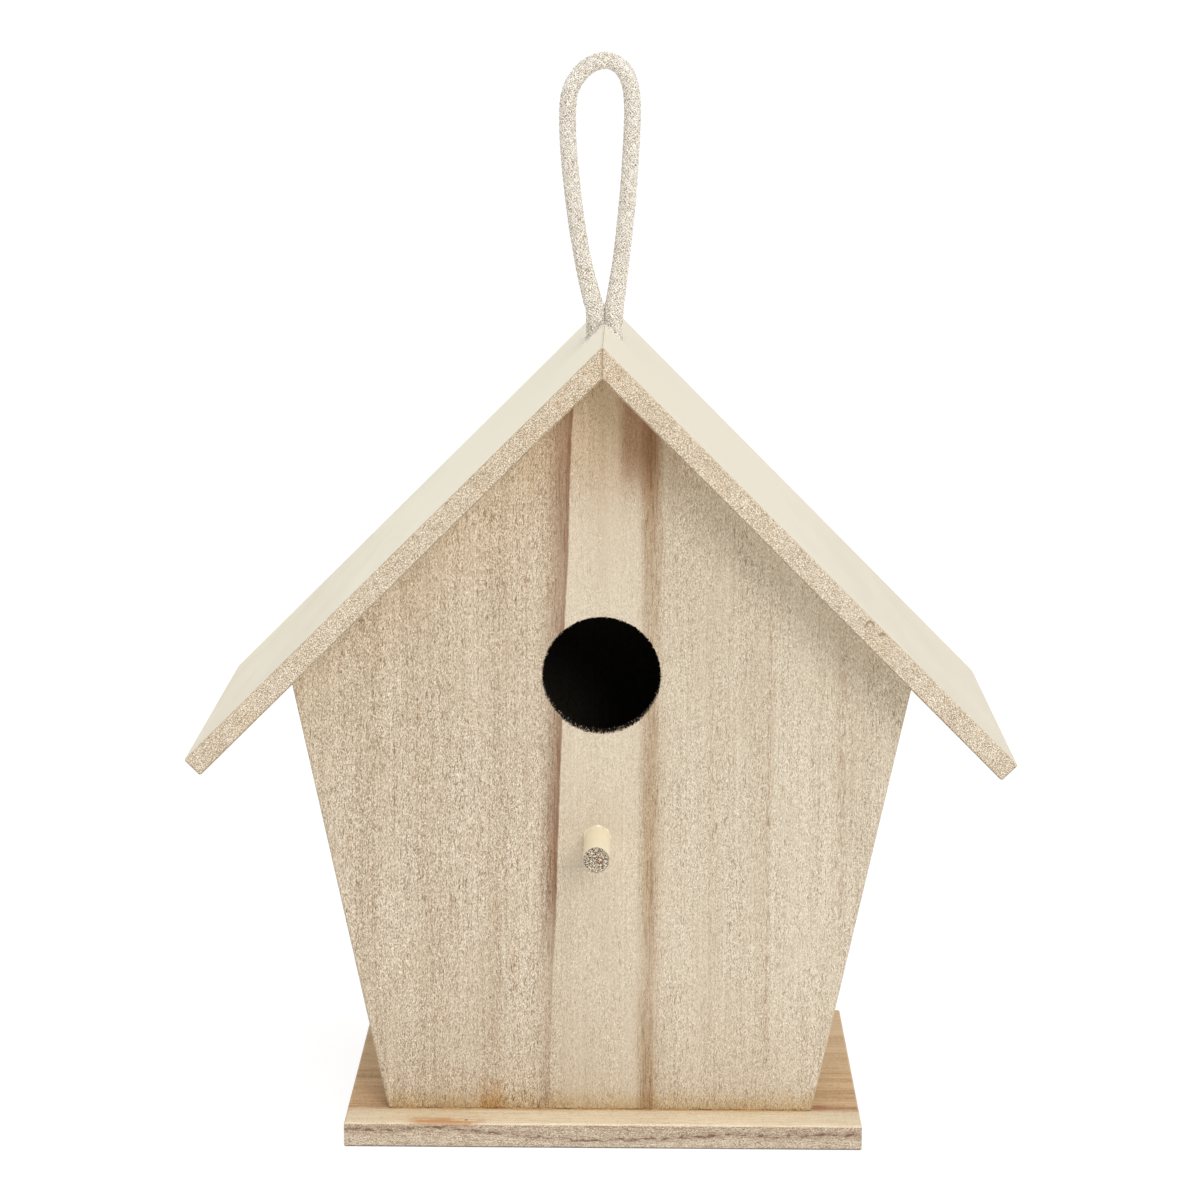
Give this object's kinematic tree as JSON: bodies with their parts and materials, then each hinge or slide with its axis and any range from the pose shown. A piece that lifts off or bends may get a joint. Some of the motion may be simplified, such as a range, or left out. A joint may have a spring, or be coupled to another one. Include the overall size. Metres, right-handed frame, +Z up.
{
  "type": "birdhouse",
  "caption": "Small wooden birdhouse with leaning sides, gable roof, round entrance, dowel perch, base board and a stiff hanging cord loop.",
  "frame": {"origin": "centre of the base board's underside, on the surface that the house stands on", "axes": "+X to the right seen from the front, front and perch towards -Y, +Z up"},
  "size_m": [0.206, 0.12, 0.2756],
  "materials": {
    "base_wood": "bare, sanded",
    "panel_wood": "bare, sanded",
    "roof_wood": "bare, sanded",
    "perch_wood": "bare dowel with a rough cut end",
    "brad_steel": "satin",
    "cotton_cord": "braided cotton"
  },
  "bodies": {
    "house": {"base_board": "base_wood", "front_panel": "panel_wood", "back_panel": "panel_wood", "left_side_panel": "panel_wood", "right_side_panel": "panel_wood", "left_roof_board": "roof_wood", "right_roof_board": "roof_wood", "perch": "perch_wood", "base_brads": "brad_steel", "back_brads": "brad_steel", "cord_root": "cotton_cord", "cord_knot": "cotton_cord"},
    "hanging_loop": {"cord_loop": "cotton_cord"}
  },
  "joints": [
    {"name": "loop_tilt", "type": "hinge", "parent": "house", "child": "hanging_loop", "pos_m": [0, 0, 0.209], "axis": [1, 0, 0], "range_deg": [-75, 75], "stiffness_Nm_per_rad": 0.005}
  ]
}
